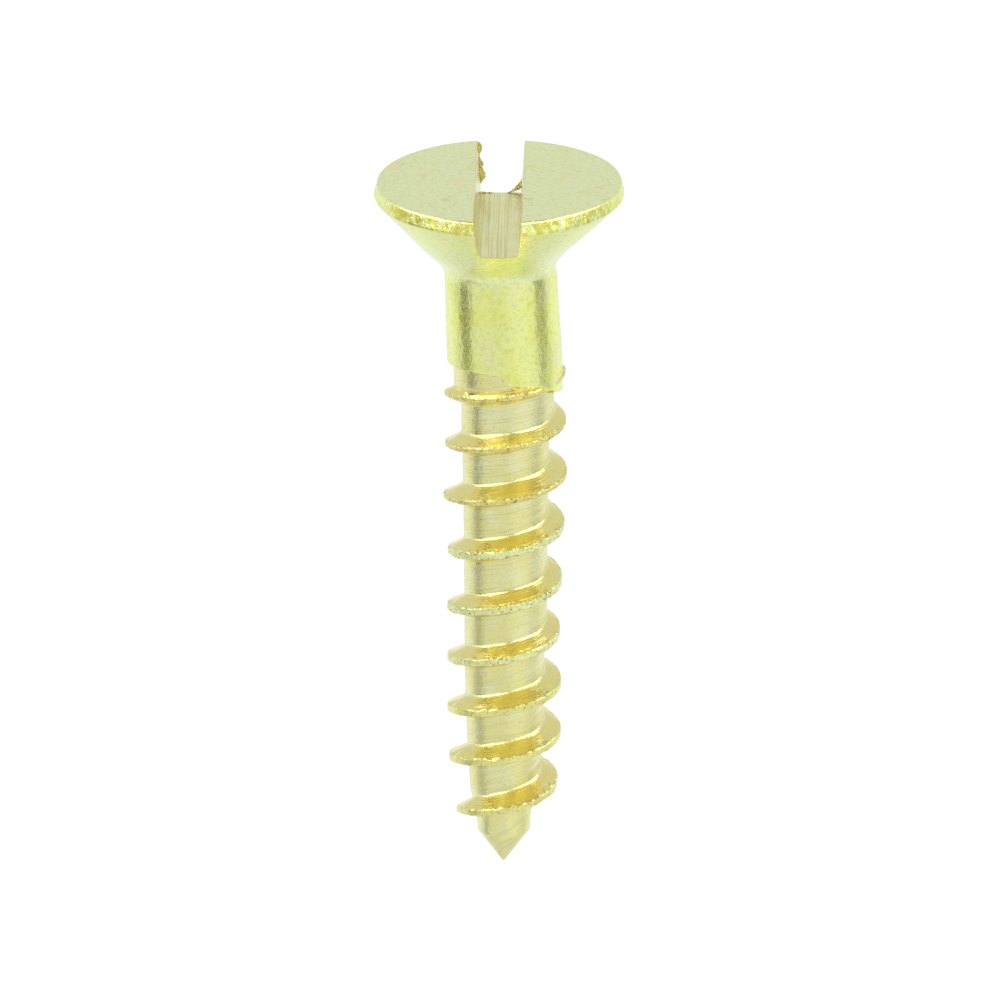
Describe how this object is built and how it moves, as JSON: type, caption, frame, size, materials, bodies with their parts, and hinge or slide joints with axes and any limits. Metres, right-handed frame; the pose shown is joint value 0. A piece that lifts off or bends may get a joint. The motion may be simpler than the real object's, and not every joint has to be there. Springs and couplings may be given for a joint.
{
  "type": "wood screw",
  "caption": "Slotted countersunk brass wood screw with a plain shank, a coarse cut right-hand thread and a short conical point.",
  "frame": {"origin": "centre of the head's flat top, which lies flush with the timber when the screw is driven home", "axes": "+Z along the screw's axis, out of the head; the point is at -Z; +Y along the driver slot"},
  "size_m": [0.0084, 0.0082, 0.025],
  "materials": {
    "blank_brass": "bright tumbled, pale green-yellow, faintly hammered",
    "cut_brass": "bright machined, warm yellow, fine turning marks"
  },
  "bodies": {
    "root": {"head": "blank_brass", "shank": "blank_brass", "runout": "cut_brass", "core": "cut_brass", "thread": "cut_brass", "point": "cut_brass"}
  },
  "joints": []
}
